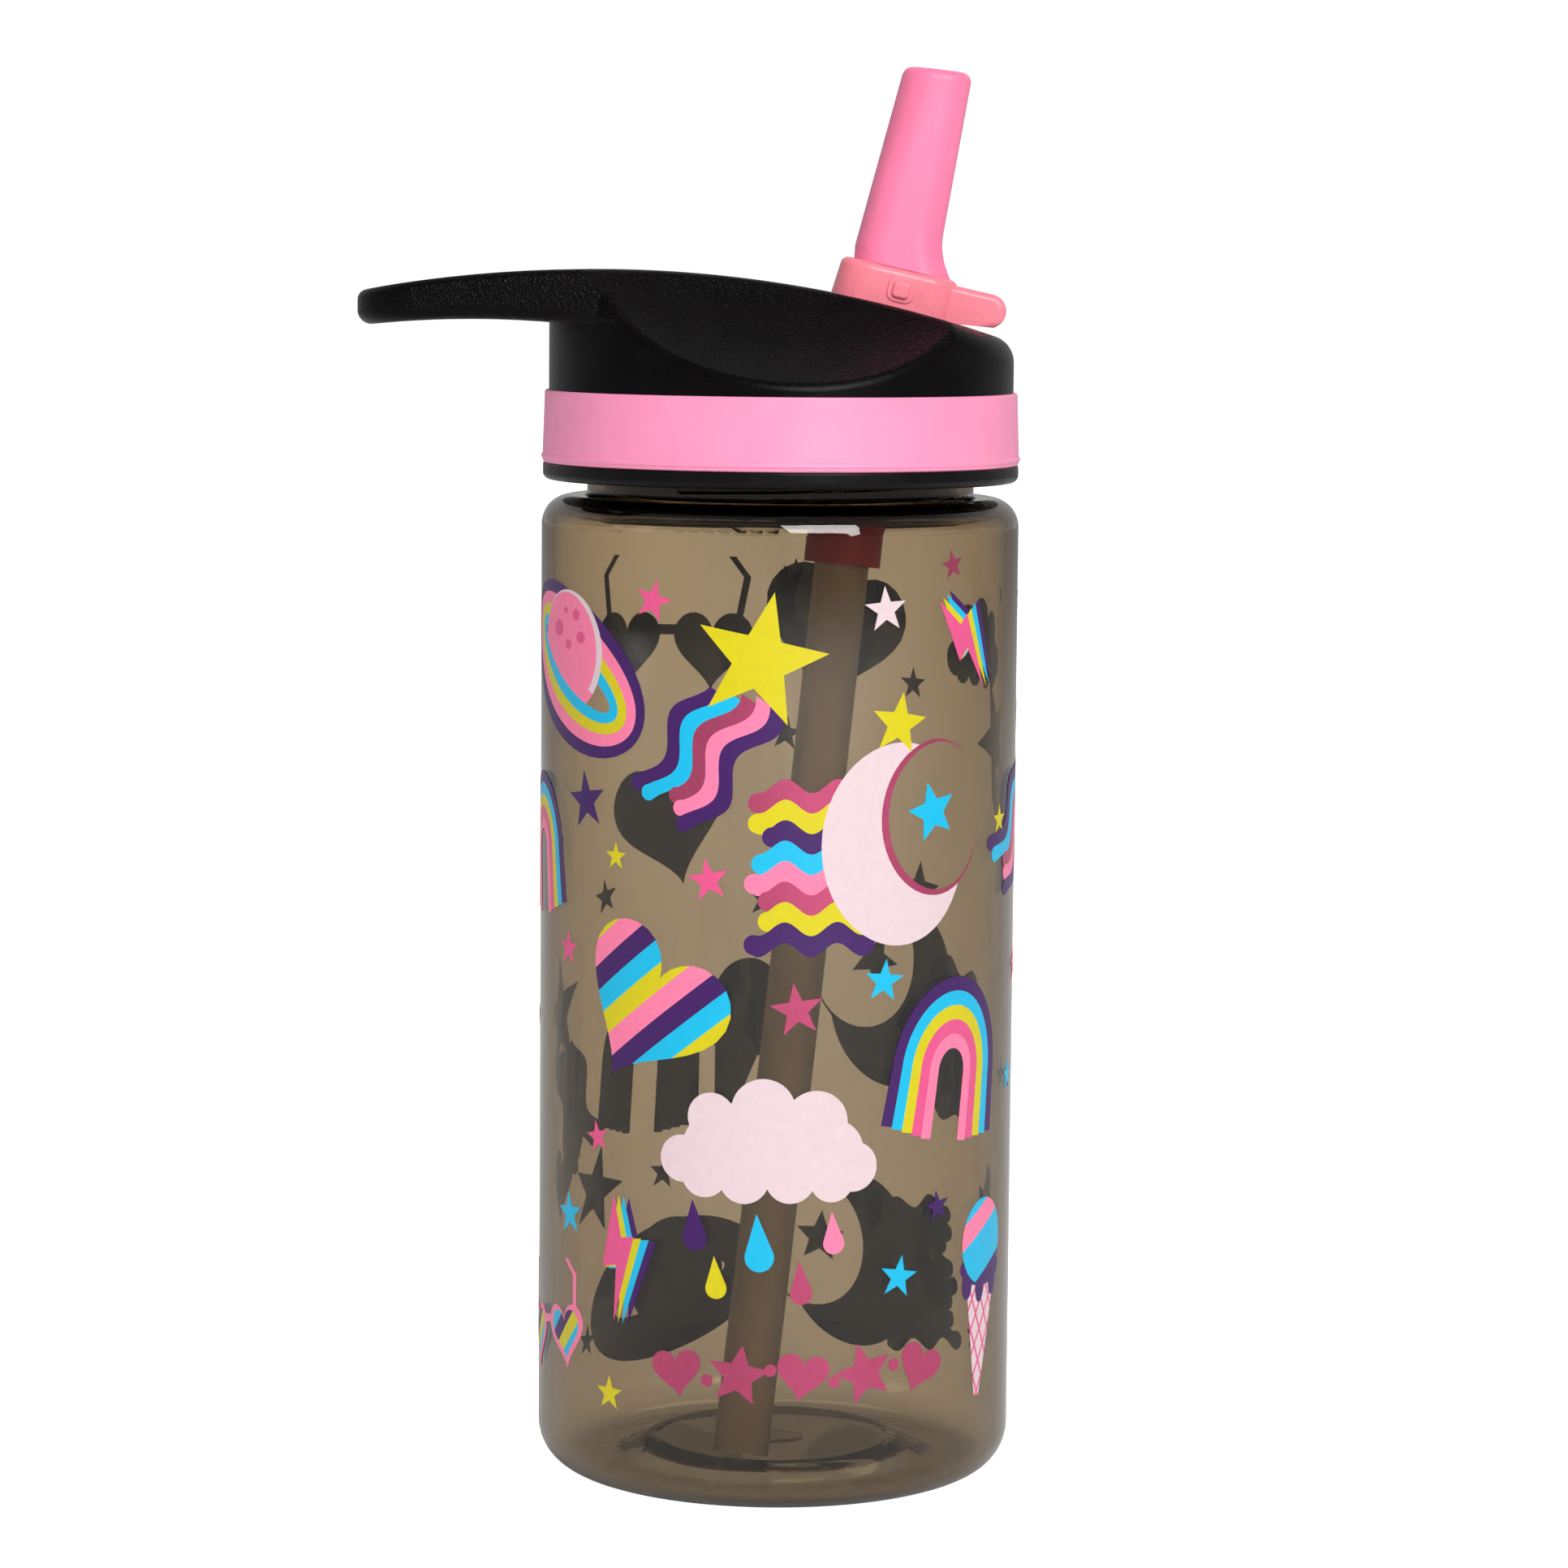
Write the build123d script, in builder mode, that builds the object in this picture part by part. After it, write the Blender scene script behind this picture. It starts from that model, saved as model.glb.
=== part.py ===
"""Kids water bottle with a flip-up drinking spout, a straw and a screw lid with a finger loop.

Frame: millimetres, +Z up. The origin is the centre of the base, on the surface the bottle stands on,
and the bottle's axis is Z. The finger loop points to -X and the spout's thumb tab to +X.
The lid is screwed home and the spout stands in its drinking position; it folds towards -X.
"""

from build123d import *
import math
import os

os.makedirs("parts", exist_ok=True)

# ---------------------------------------------------------------- driving dimensions
# Bottle
body_r = 35.0
wall = 1.9
base_corner_r = 6.5     # rounding between barrel and base
rest_ring_r = 24.0      # inner radius of the ring the bottle stands on
punt_r = 17.0           # radius of the raised flat inside that ring
punt_rise = 2.4
floor_thick = 1.7
shoulder_z = 144.3
shoulder_r = 4.2
neck_r = 28.35
neck_wall = 2.1
neck_root_r = 0.8
neck_top_z = 154.0
neck_lip_r = 0.5
gate_size = (9.0, 6.0, 0.5)     # oval moulding mark under the base

# Screw thread, one start, shared by the neck and the cap
thread_pitch = 4.0
thread_height = 1.2
thread_sink = 0.3       # how far a thread's foot is set into its wall
thread_foot = 2.1       # width at the foot
thread_tip = 0.9        # width at the tip
neck_thread_start = (146.4, 240.0)      # height and direction of the thread's lower end
neck_thread_turns = 1.5
cap_thread_z = 148.0
cap_thread_turns = 1.1

# Threaded cap, with its deck across the neck
cap_bore_r = 30.0
cap_r = 32.3
cap_bottom_z = 146.6
flange_r = 34.85
flange_top_z = 149.1
flange_edge_r = 1.0
deck_z = 155.4
deck_thick = 2.0
spigot_r = 32.0
spigot_wall = 1.6
spigot_top_z = 160.8
gasket_r = (26.0, 29.6)
plug_r = 25.9           # skirt inside the neck
plug_wall = 1.5
plug_bottom_z = 142.7

# Grip band
band_top_z = 159.6
band_r = (34.9, 34.6)   # outside, at the foot and at the top
band_bead = 0.2
band_bead_z = 150.0
band_edge_r = 0.35

# Lid cover with its finger loop
cover_r = 34.0
cover_wall = 1.9
crown_peak = (-26.1, 177.15)     # X and Z of the highest point of the crown's long arc
crown_r = 181.0
crown_front_r = 4.0     # rounding from the crown into the front wall
crown_edge_r = 1.5
flank_axis = (42.5, 197.7)      # |Y| and Z of the axes of the barrels that hollow the two flanks
flank_mid_x = 5.0       # where those barrels are widest
flank_r = 37.2          # their radius there
flank_arc_r = 80.0      # radius of their long sides
flank_half_length = 44.0
loop_end_x = -61.2
loop_half_w = (18.5, 22.5)      # half width at the far end and where it leaves the cover
loop_corner_r = 9.5
loop_arch = (-43.0, 169.9)      # X and Z of the highest point of the loop's hollow underside
loop_arch_r = 140.0
loop_edge_r = 2.0
finger_hole_x = (-52.0, -36.5)
finger_hole_half_w = 12.0
finger_hole_corner_r = 5.0
finger_hole_edge_r = 1.2

# Channel in the cover: a well round the hinge, then a trough for the folded spout
channel_half_w = 9.6
channel_wall = 1.8
channel_corner_r = 5.0
channel_edge_r = 0.9
well_x = (0.2, 24.8)
trough_end_x = -28.6
trough_floor_z = (160.0, 166.4)         # at the well and at the far end

# Spout hinge
pivot_x, pivot_z = 14.0, 166.2
spout_tilt = 12.6       # lean of the open spout, degrees from vertical
drum_r = 5.2
drum_half_w = 8.4
trunnion_r = 2.5
trunnion_reach = 11.3
hinge_play = 0.05

# Spout, measured along it (up) and across it towards the tab (out), from the hinge
collar_back_out = (-8.4, -7.9)          # loop side of the collar, at its underside and top
collar_front_out = 9.3
collar_under_up = 5.7
collar_corner_r = 4.5
collar_edge_r = 1.1
tab_root_out = 3.0      # the tab's blank starts here, inside the collar
tab_reach = 16.95
tab_half_w = 6.4
tab_up = (6.5, 9.3, 11.2)       # heights of the tab's underside, nose and top
tab_nose = (1.3, 2.3)           # how far back from the nose the underside and the top end
tab_edge_r = 1.0
nub_place = (1.3, 8.8)
nub_foot = (4.0, 3.7, 0.25)     # rounded pad under the nub: out, up and proud
nub_size = 2.5
nub_proud = 0.8
nub_edge_r = (0.4, 0.2)         # on the nub and on its pad
duct_r = 2.4
neck_tube_r = 3.3      # tube between drum and collar, narrow enough to pass the seal
cheek_y = 4.2           # the cheeks beside that tube start here
cheek_top = 7.0
core_r = 3.9
core_top = 24.0
mouth_seat = 11.8
mouth_top = 41.0
mouth_half_w = (7.8, 6.7)       # half width at the seat and at the tip
mouth_flare_out = 8.1   # the flare at the seat, on the tab side
mouth_waist_out, mouth_waist_up = 5.55, 18.2
mouth_bulge_out = -6.5  # the loop side, just above the seat
mouth_bulge_up = 1.9    # height of that bulge over the seat
mouth_bulge_tuck = 0.3  # how far the loop side draws in below the bulge
mouth_tip_out = (-5.25, 4.3)
mouth_corner_r = 4.3
mouth_top_slant = 6.5   # degrees
mouth_edge_r = 1.4

# Seal between the deck and the spout's drum
seal_r = 3.5
seal_foot_r = 5.6
seal_foot_thick = 1.1
seal_socket_wall = 1.4

# Straw, its sleeve and the stub they hang from
port_x = 11.2
stub_lean = (-0.10, -0.06)      # slope of the stub in X and Y for each unit down
stub_length = 9.0
sleeve_r = 5.6
sleeve_span = (0.8, 21.2)       # distances down the stub's axis from the deck
straw_r = 4.0
straw_wall = 1.0
straw_start = 9.4
straw_bend = 23.0       # the straw is straight to here, then bows gently
straw_end = (-4.6, -18.0, 5.4)

# Vent valve
vent_x = -15.0
vent_stem_r = 1.3
vent_bulb_r = 2.0
vent_disc_r = 4.4
vent_disc_thick = (1.6, 0.4)    # in the middle and at the rim
vent_bulb_h = 2.2
vent_hole_r = 0.6
vent_hole_pitch_r = 2.7


# ---------------------------------------------------------------- helpers
def write(part, name, color):
    """Labels one finished piece and writes its STEP file."""
    part.label = name
    part.color = Color(*color)
    export_step(part, f"parts/{name}.step")


def thread_ridge(foot_r, tip_r, start_z, direction, turns):
    """A helical ridge of trapezoid section, standing on a wall of radius foot_r."""
    sunk_r = foot_r - math.copysign(thread_sink, tip_r - foot_r)
    with BuildPart() as ridge:
        with BuildLine() as helix:
            Helix(pitch=thread_pitch, height=thread_pitch * turns, radius=foot_r)
        with BuildSketch(Plane.XZ):
            with BuildLine():
                Polyline(
                    (sunk_r, -thread_foot / 2),
                    (tip_r, -thread_tip / 2),
                    (tip_r, thread_tip / 2),
                    (sunk_r, thread_foot / 2),
                    close=True,
                )
            make_face()
        sweep(path=helix.line, is_frenet=True)
    return ridge.part.moved(Location((0, 0, start_z), (0, 0, direction)))


def flank_barrel(side, extra):
    """A barrel lying along X that hollows one flank of the lid; extra makes it that much fatter."""
    arc_r = flank_arc_r + extra
    widest_r = flank_r + extra
    end_r = widest_r - arc_r + math.sqrt(arc_r**2 - flank_half_length**2)
    middle = (flank_mid_x, side * flank_axis[0], flank_axis[1])
    with BuildPart() as barrel:
        with BuildSketch(Plane(origin=middle, x_dir=(1, 0, 0), z_dir=(0, 1, 0))):
            with BuildLine():
                ThreePointArc((-flank_half_length, end_r), (0, widest_r), (flank_half_length, end_r))
                Polyline(
                    (flank_half_length, end_r),
                    (flank_half_length, 0),
                    (-flank_half_length, 0),
                    (-flank_half_length, end_r),
                )
            make_face()
        revolve(axis=Axis(middle, (1, 0, 0)))
    return barrel.part


def near(x=None, y=None, z=None, within=0.6):
    """A filter for edges whose middle is near the given coordinates; |Y| is what counts."""
    wanted = (x, y, z)

    def is_near(edge):
        middle = edge @ 0.5
        place = (middle.X, abs(middle.Y), middle.Z)
        return all(w is None or abs(p - w) < within for p, w in zip(place, wanted))

    return is_near


# ---------------------------------------------------------------- planes of the spout and the stub
tilt = math.radians(spout_tilt)
spout_up = Vector(math.sin(tilt), 0, math.cos(tilt))
spout_out = Vector(math.cos(tilt), 0, -math.sin(tilt))
pivot = Vector(pivot_x, 0, pivot_z)
spout_side = Plane(origin=pivot, x_dir=spout_out, z_dir=(0, -1, 0))
spout_cross = Plane(origin=pivot, x_dir=spout_out, z_dir=spout_up)

deck_top_z = deck_z + deck_thick
stub_down = Vector(*stub_lean, -1).normalized()
port = Vector(port_x, 0, deck_z)
stub_cross = Plane(origin=port, x_dir=(0, 1, 0), z_dir=stub_down)
crown_centre_z = crown_peak[1] - crown_r


# ---------------------------------------------------------------- bottle body
inner_r = body_r - wall
neck_inner_r = neck_r - neck_wall
under_shoulder_z = shoulder_z - wall
inside_shoulder_r = shoulder_r - wall
inside_corner_r = base_corner_r - wall
with BuildPart() as bottle_body:
    with BuildSketch(Plane.XZ):
        with BuildLine():
            # outside, from the middle of the base to the rim
            Line((0, punt_rise), (punt_r, punt_rise))
            Spline((punt_r, punt_rise), (rest_ring_r, 0), tangents=((1, 0), (1, 0)))
            Line((rest_ring_r, 0), (body_r - base_corner_r, 0))
            RadiusArc((body_r - base_corner_r, 0), (body_r, base_corner_r), -base_corner_r)
            Line((body_r, base_corner_r), (body_r, shoulder_z - shoulder_r))
            RadiusArc((body_r, shoulder_z - shoulder_r), (body_r - shoulder_r, shoulder_z),
                      -shoulder_r)
            Line((body_r - shoulder_r, shoulder_z), (neck_r + neck_root_r, shoulder_z))
            RadiusArc((neck_r + neck_root_r, shoulder_z), (neck_r, shoulder_z + neck_root_r),
                      neck_root_r)
            Line((neck_r, shoulder_z + neck_root_r), (neck_r, neck_top_z - neck_lip_r))
            RadiusArc((neck_r, neck_top_z - neck_lip_r), (neck_r - neck_lip_r, neck_top_z),
                      -neck_lip_r)
            # inside, from the rim back to the middle of the floor
            Line((neck_r - neck_lip_r, neck_top_z), (neck_inner_r + neck_lip_r, neck_top_z))
            RadiusArc((neck_inner_r + neck_lip_r, neck_top_z),
                      (neck_inner_r, neck_top_z - neck_lip_r), -neck_lip_r)
            Line((neck_inner_r, neck_top_z - neck_lip_r),
                 (neck_inner_r, under_shoulder_z - neck_root_r))
            RadiusArc((neck_inner_r, under_shoulder_z - neck_root_r),
                      (neck_inner_r + neck_root_r, under_shoulder_z), neck_root_r)
            Line((neck_inner_r + neck_root_r, under_shoulder_z),
                 (inner_r - inside_shoulder_r, under_shoulder_z))
            RadiusArc((inner_r - inside_shoulder_r, under_shoulder_z),
                      (inner_r, under_shoulder_z - inside_shoulder_r), inside_shoulder_r)
            Line((inner_r, under_shoulder_z - inside_shoulder_r),
                 (inner_r, floor_thick + inside_corner_r))
            RadiusArc((inner_r, floor_thick + inside_corner_r),
                      (inner_r - inside_corner_r, floor_thick), inside_corner_r)
            Line((inner_r - inside_corner_r, floor_thick), (rest_ring_r, floor_thick))
            Spline((rest_ring_r, floor_thick), (punt_r, floor_thick + punt_rise),
                   tangents=((-1, 0), (-1, 0)))
            Line((punt_r, floor_thick + punt_rise), (0, floor_thick + punt_rise))
            Line((0, floor_thick + punt_rise), (0, punt_rise))
        make_face()
    revolve(axis=Axis.Z)
    with BuildSketch(Plane.XY.offset(punt_rise)):
        Ellipse(gate_size[0] / 2, gate_size[1] / 2)
    extrude(amount=-gate_size[2])
    add(thread_ridge(neck_r, neck_r + thread_height, *neck_thread_start, neck_thread_turns))
write(bottle_body.part, "bottle_body", (0.48, 0.42, 0.38, 0.5))


# ---------------------------------------------------------------- threaded cap
# The cap's ridge lies half a pitch above the neck's, in the middle of its groove.
neck_thread_z, neck_thread_direction = neck_thread_start
cap_thread_direction = neck_thread_direction + 360 * (
    cap_thread_z - neck_thread_z - thread_pitch / 2) / thread_pitch
seal_centre_x = pivot_x - (pivot_z - deck_top_z) * math.tan(tilt)
with BuildPart() as threaded_cap:
    with BuildSketch(Plane.XZ):
        with BuildLine():
            Polyline(
                (0, deck_z),
                (cap_bore_r, deck_z),
                (cap_bore_r, cap_bottom_z),
                (flange_r, cap_bottom_z),
                (flange_r, flange_top_z),
                (cap_r, flange_top_z),
                (cap_r, band_top_z),
                (spigot_r, band_top_z),
                (spigot_r, spigot_top_z),
                (spigot_r - spigot_wall, spigot_top_z),
                (spigot_r - spigot_wall, deck_top_z),
                (0, deck_top_z),
                close=True,
            )
        make_face()
    revolve(axis=Axis.Z)
    flange_edges = threaded_cap.edges().filter_by(GeomType.CIRCLE).group_by(SortBy.RADIUS)[-1]
    fillet(flange_edges.sort_by(Axis.Z)[0], flange_edge_r)
    fillet(threaded_cap.edges().filter_by(GeomType.CIRCLE).group_by(SortBy.RADIUS)[-1]
           .sort_by(Axis.Z)[-1], flange_edge_r / 3)
    # plug inside the neck
    with BuildSketch(Plane.XY.offset(plug_bottom_z)):
        Circle(plug_r)
        Circle(plug_r - plug_wall, mode=Mode.SUBTRACT)
    extrude(amount=deck_z - plug_bottom_z)
    # socket for the spout seal
    with BuildSketch(Plane.XY.offset(deck_top_z)):
        with Locations((seal_centre_x, 0)):
            Circle(seal_foot_r + seal_socket_wall)
            Circle(seal_foot_r, mode=Mode.SUBTRACT)
    extrude(amount=seal_foot_thick)
    # stub for the straw, and the drinking duct through deck and stub
    with BuildSketch(stub_cross.offset(-deck_thick / 2)):
        Circle(straw_r)
    extrude(amount=deck_thick / 2 + stub_length)
    with BuildSketch(stub_cross):
        Circle(duct_r)
    extrude(amount=stub_length + 1, mode=Mode.SUBTRACT)
    with BuildSketch(spout_cross):
        Circle(duct_r)
    extrude(amount=-(pivot_z - deck_z) / math.cos(tilt), mode=Mode.SUBTRACT)
    # air inlet: a stem hole for the vent valve, with three breathing holes round it
    with Locations((vent_x, 0, deck_top_z)):
        Hole(vent_stem_r, depth=deck_thick)
        with PolarLocations(vent_hole_pitch_r, 3):
            Hole(vent_hole_r, depth=deck_thick)
    add(thread_ridge(cap_bore_r, cap_bore_r - thread_height, cap_thread_z, cap_thread_direction,
                     cap_thread_turns))
write(threaded_cap.part, "threaded_cap", (0.05, 0.05, 0.05))


# ---------------------------------------------------------------- neck gasket
with BuildPart() as neck_gasket:
    with BuildSketch(Plane.XY.offset(neck_top_z)):
        Circle(gasket_r[1])
        Circle(gasket_r[0], mode=Mode.SUBTRACT)
    extrude(amount=deck_z - neck_top_z)
write(neck_gasket.part, "neck_gasket", (0.85, 0.85, 0.85))


# ---------------------------------------------------------------- grip band
bead_half_h = band_bead * 2
with BuildPart() as grip_band:
    with BuildSketch(Plane.XZ):
        with BuildLine():
            Polyline(
                (cap_r, band_top_z),
                (cap_r, flange_top_z),
                (band_r[0], flange_top_z),
                (band_r[0], band_bead_z - bead_half_h),
            )
            ThreePointArc(
                (band_r[0], band_bead_z - bead_half_h),
                (band_r[0] + band_bead, band_bead_z),
                (band_r[0], band_bead_z + bead_half_h),
            )
            Polyline(
                (band_r[0], band_bead_z + bead_half_h),
                (band_r[1], band_top_z),
                (cap_r, band_top_z),
            )
        make_face()
    revolve(axis=Axis.Z)
    band_top_edge = grip_band.edges().group_by(Axis.Z)[-1].sort_by(SortBy.RADIUS)[-1]
    band_foot_edge = grip_band.edges().group_by(Axis.Z)[0].sort_by(SortBy.RADIUS)[-1]
    fillet([band_top_edge, band_foot_edge], band_edge_r)
write(grip_band.part, "grip_band", (1.0, 0.5, 0.72))


# ---------------------------------------------------------------- lid cover
# Everything between the cover's outer skin and the channel's walls is hollow, open to below.
above_crown_z = crown_peak[1] + 5
with BuildPart() as channel_block:
    with BuildSketch(Plane.XZ):
        with BuildLine():
            Polyline(
                (well_x[1] + channel_wall, band_top_z),
                (well_x[1] + channel_wall, above_crown_z),
                (trough_end_x - channel_wall, above_crown_z),
                (trough_end_x - channel_wall, trough_floor_z[1] - channel_wall),
                (well_x[0] - channel_wall, band_top_z),
                close=True,
            )
        make_face()
    extrude(amount=channel_half_w + channel_wall, both=True)

with BuildPart() as cover_cavity:
    with BuildSketch(Plane.XY.offset(band_top_z)):
        Circle(cover_r - cover_wall)
    extrude(amount=above_crown_z - band_top_z)
    with BuildSketch(Plane.XZ):
        with Locations((crown_peak[0], crown_centre_z)):
            Circle(crown_r - cover_wall)
    extrude(amount=cover_r, both=True, mode=Mode.INTERSECT)
    for side in (-1, 1):
        add(flank_barrel(side, cover_wall), mode=Mode.SUBTRACT)
    # room for the cap's spigot
    with BuildSketch(Plane.XY.offset(band_top_z)):
        Circle(cover_r - cover_wall)
    extrude(amount=spigot_top_z + 0.1 - band_top_z)
    add(channel_block.part, mode=Mode.SUBTRACT)

loop_root_x = -cover_r * 0.6    # the loop's blank starts inside the cover
under_loop_z = loop_arch[1] - loop_arch_r + math.sqrt(
    loop_arch_r**2 - (loop_end_x - loop_arch[0])**2)
with BuildPart() as loop_blank:
    with BuildSketch(Plane.XY.offset(under_loop_z - 1)):
        with BuildLine():
            Polyline(
                (loop_root_x, -loop_half_w[1]),
                (loop_end_x, -loop_half_w[0]),
                (loop_end_x, loop_half_w[0]),
                (loop_root_x, loop_half_w[1]),
                close=True,
            )
        make_face()
        fillet(vertices().group_by(Axis.X)[0], loop_corner_r)
    extrude(amount=above_crown_z - under_loop_z + 1)
    with BuildSketch(Plane.XZ):
        with Locations((loop_arch[0], loop_arch[1] - loop_arch_r)):
            Circle(loop_arch_r)
    extrude(amount=2 * cover_r, both=True, mode=Mode.SUBTRACT)

with BuildPart() as lid_cover:
    with BuildSketch(Plane.XY.offset(band_top_z)):
        Circle(cover_r)
    extrude(amount=above_crown_z - band_top_z)
    add(loop_blank.part)
    with BuildSketch(Plane.XZ):
        with Locations((crown_peak[0], crown_centre_z)):
            Circle(crown_r)
    extrude(amount=2 * cover_r, both=True, mode=Mode.INTERSECT)
    for side in (-1, 1):
        add(flank_barrel(side, 0), mode=Mode.SUBTRACT)
    # roundings: under the loop, at the front, then the crown's outline and the flanks' lips
    round_faces = lid_cover.faces().filter_by(GeomType.CYLINDER).sort_by(SortBy.RADIUS)
    under_loop = [face for face in round_faces if abs(face.radius - loop_arch_r) < 0.1][0]
    loop_rim = [e for e in under_loop.outer_wire().edges() if (e @ 0.5).X < -cover_r - 1]
    fillet(loop_rim, loop_edge_r)
    fillet(lid_cover.edges().filter_by(near(x=31.7, z=167.9)), crown_front_r)
    crown = lid_cover.faces().filter_by(GeomType.CYLINDER).sort_by(SortBy.RADIUS)[-1]
    crown_rim = [e for e in crown.outer_wire().edges() if (e @ 0.5).X < cover_r - 5]
    flank_lips = lid_cover.edges().filter_by(near(y=33.9, z=162, within=1.2))
    fillet(crown_rim + flank_lips, crown_edge_r)
    # finger hole
    with BuildSketch(Plane.XY.offset(under_loop_z - 1)):
        with Locations((sum(finger_hole_x) / 2, 0)):
            RectangleRounded(finger_hole_x[1] - finger_hole_x[0], 2 * finger_hole_half_w,
                             finger_hole_corner_r)
    extrude(amount=above_crown_z - under_loop_z + 1, mode=Mode.SUBTRACT)
    hole_rims = lid_cover.edges().filter_by(
        lambda e: finger_hole_x[0] - 0.1 < (e @ 0.5).X < finger_hole_x[1] + 0.1
        and abs((e @ 0.5).Y) < finger_hole_half_w + 0.1
        and abs(e.tangent_at(0.5).Z) < 0.9)
    fillet(hole_rims, finger_hole_edge_r)
    # channel for the folded spout, open to below in the well
    with BuildSketch(Plane.XZ):
        with BuildLine():
            Polyline(
                (well_x[1], band_top_z - 1),
                (well_x[1], above_crown_z),
                (trough_end_x, above_crown_z),
                (trough_end_x, trough_floor_z[1]),
                (well_x[0], trough_floor_z[0]),
                (well_x[0], band_top_z - 1),
                close=True,
            )
        make_face()
    extrude(amount=channel_half_w, both=True, mode=Mode.SUBTRACT)
    channel_ends = lid_cover.edges().filter_by(
        lambda e: abs((e @ 0.5).X - trough_end_x) < 0.1 and abs(e.tangent_at(0.5).Z) > 0.9)
    fillet(channel_ends, channel_corner_r)
    crown = lid_cover.faces().filter_by(GeomType.CYLINDER).sort_by(SortBy.RADIUS)[-1]
    channel_rim = [e for wire in crown.inner_wires() for e in wire.edges()
                   if trough_end_x - 1 < (e @ 0.5).X]
    fillet(channel_rim, channel_edge_r)
    add(cover_cavity.part, mode=Mode.SUBTRACT)
    # bearings for the spout's trunnions, in both walls of the well
    with BuildSketch(Plane(origin=pivot, x_dir=(1, 0, 0), z_dir=(0, -1, 0))):
        Circle(trunnion_r + hinge_play)
    extrude(amount=channel_half_w + channel_wall, both=True, mode=Mode.SUBTRACT)
write(lid_cover.part, "lid_cover", (0.07, 0.07, 0.07))


# ---------------------------------------------------------------- spout seal
# A soft seat between the deck and the drum: open through the duct, shut when the drum has turned.
seal_reach = (pivot_z - deck_top_z) / math.cos(tilt)
with BuildPart() as spout_seal:
    with BuildSketch(Plane.XY.offset(deck_top_z)):
        with Locations((seal_centre_x, 0)):
            Circle(seal_foot_r)
    extrude(amount=seal_foot_thick)
    with BuildSketch(spout_cross):
        Circle(seal_r)
    extrude(amount=seal_foot_thick - seal_reach)
    with BuildSketch(spout_side):
        Circle(drum_r + hinge_play)
    extrude(amount=drum_half_w, both=True, mode=Mode.SUBTRACT)
    with BuildSketch(spout_cross):
        Circle(duct_r)
    extrude(amount=-2 * seal_reach, mode=Mode.SUBTRACT)
    split(bisect_by=Plane.XY.offset(deck_top_z), keep=Keep.TOP)
    split(bisect_by=spout_cross, keep=Keep.BOTTOM)
write(spout_seal.part, "spout_seal", (0.9, 0.9, 0.9))


# ---------------------------------------------------------------- spout base
# Collar and thumb tab in one plate, a drum below it that turns on two trunnions, and a core
# above it that the soft mouthpiece is pushed on.
with BuildPart() as thumb_tab:
    with BuildSketch(spout_side):
        with BuildLine():
            Line((tab_root_out, tab_up[2]), (tab_reach - tab_nose[1], tab_up[2]))
            ThreePointArc(
                (tab_reach - tab_nose[1], tab_up[2]),
                (tab_reach, tab_up[1]),
                (tab_reach - tab_nose[0], tab_up[0]),
            )
            Polyline(
                (tab_reach - tab_nose[0], tab_up[0]),
                (collar_front_out, collar_under_up),
                (tab_root_out, collar_under_up),
                (tab_root_out, tab_up[2]),
            )
        make_face()
    extrude(amount=tab_half_w, both=True)
    tab_corners = thumb_tab.edges().filter_by(
        lambda e: (e @ 0.5 - pivot).dot(spout_out) > tab_reach - tab_nose[1] and abs((e @ 0.5).Y) > 1)
    fillet(tab_corners, tab_edge_r)

with BuildPart() as spout_base:
    with BuildSketch(spout_side):
        with BuildLine():
            Polyline(
                (collar_back_out[1], mouth_seat),
                (collar_front_out, mouth_seat),
                (collar_front_out, collar_under_up),
                (collar_back_out[0], collar_under_up),
                close=True,
            )
        make_face()
    extrude(amount=drum_half_w, both=True)
    upright = spout_base.edges().filter_by(
        lambda e: abs((e @ 0.5).Y) > drum_half_w - 0.1 and abs(e.tangent_at(0.5).dot(spout_up)) > 0.9)
    fillet(upright, collar_corner_r)
    plate_top = spout_base.faces().sort_by(Axis(pivot, spout_up))[-1]
    fillet(plate_top.edges(), collar_edge_r)
    add(thumb_tab.part)
    with BuildSketch(spout_side):
        Circle(drum_r)
    extrude(amount=drum_half_w, both=True)
    for side in (-1, 1):
        with BuildSketch(spout_side.offset(side * cheek_y)):
            with Locations((0, cheek_top / 2)):
                Rectangle(2 * drum_r, cheek_top)
        extrude(amount=side * (drum_half_w - cheek_y))
    with BuildSketch(spout_cross):
        Circle(neck_tube_r)
    extrude(amount=mouth_seat)
    with BuildSketch(spout_side):
        Circle(trunnion_r)
    extrude(amount=trunnion_reach, both=True)
    with BuildSketch(spout_side):
        with Locations(nub_place):
            RectangleRounded(nub_foot[0], nub_foot[1], nub_foot[1] / 3)
    extrude(amount=drum_half_w + nub_foot[2], both=True)
    with BuildSketch(spout_side):
        with Locations(nub_place):
            RectangleRounded(nub_size, nub_size, nub_size / 4)
    extrude(amount=drum_half_w + nub_proud, both=True)
    for proud, edge_r in zip((nub_proud, nub_foot[2]), nub_edge_r):
        raised = spout_base.faces().filter_by(
            lambda face: abs(abs(face.center().Y) - drum_half_w - proud) < 0.01)
        fillet([e for face in raised for e in face.outer_wire().edges()], edge_r)
    with BuildSketch(spout_cross.offset(mouth_seat - 1)):
        Circle(core_r)
    extrude(amount=core_top - mouth_seat + 1)
    with BuildSketch(spout_cross.offset(-2 * drum_r)):
        Circle(duct_r)
    extrude(amount=2 * drum_r + core_top, mode=Mode.SUBTRACT)
write(spout_base.part, "spout_base", (0.98, 0.38, 0.5))


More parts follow.
